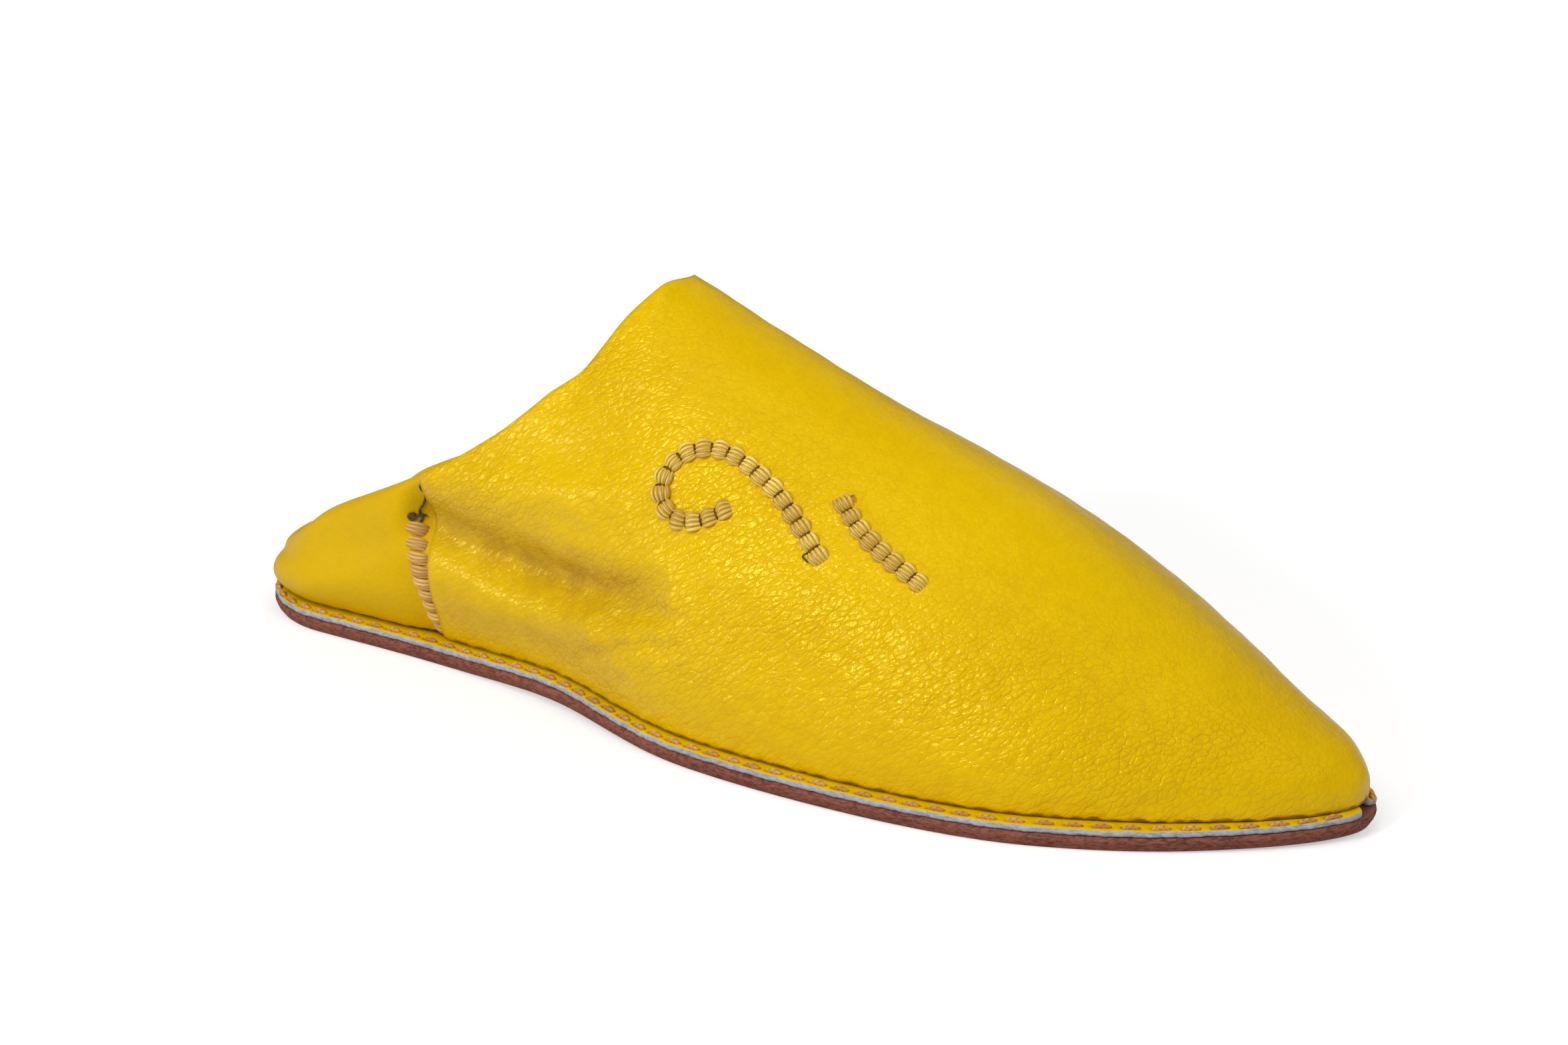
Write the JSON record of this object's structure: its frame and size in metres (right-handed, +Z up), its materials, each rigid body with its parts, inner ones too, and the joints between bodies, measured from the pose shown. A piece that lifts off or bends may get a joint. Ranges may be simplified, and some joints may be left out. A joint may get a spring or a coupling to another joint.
{
  "type": "babouche slipper",
  "caption": "Backless leather slipper with a long pointed toe, a stitched rand, a low heel folded down inside and corded needlework on its outer side.",
  "frame": {"origin": "bottom centre of the slipper's box, on the floor under the outsole", "axes": "+X heel to toe, +Z up, +Y to the medial side of this right-foot slipper"},
  "size_m": [0.284, 0.095, 0.096],
  "materials": {
    "outsole_leather": "matt vegetable-tanned hide with a raw edge",
    "rand_leather": "satin, with a grey raw edge",
    "insole_leather": "matt natural lining leather",
    "upper_leather": "satin pebbled grain",
    "quarter_leather": "satin fine grain"
  },
  "bodies": {
    "root": {"outsole": "outsole_leather", "rand": "rand_leather", "insole": "insole_leather", "upper": "upper_leather", "heel_quarter": "quarter_leather"}
  },
  "joints": []
}
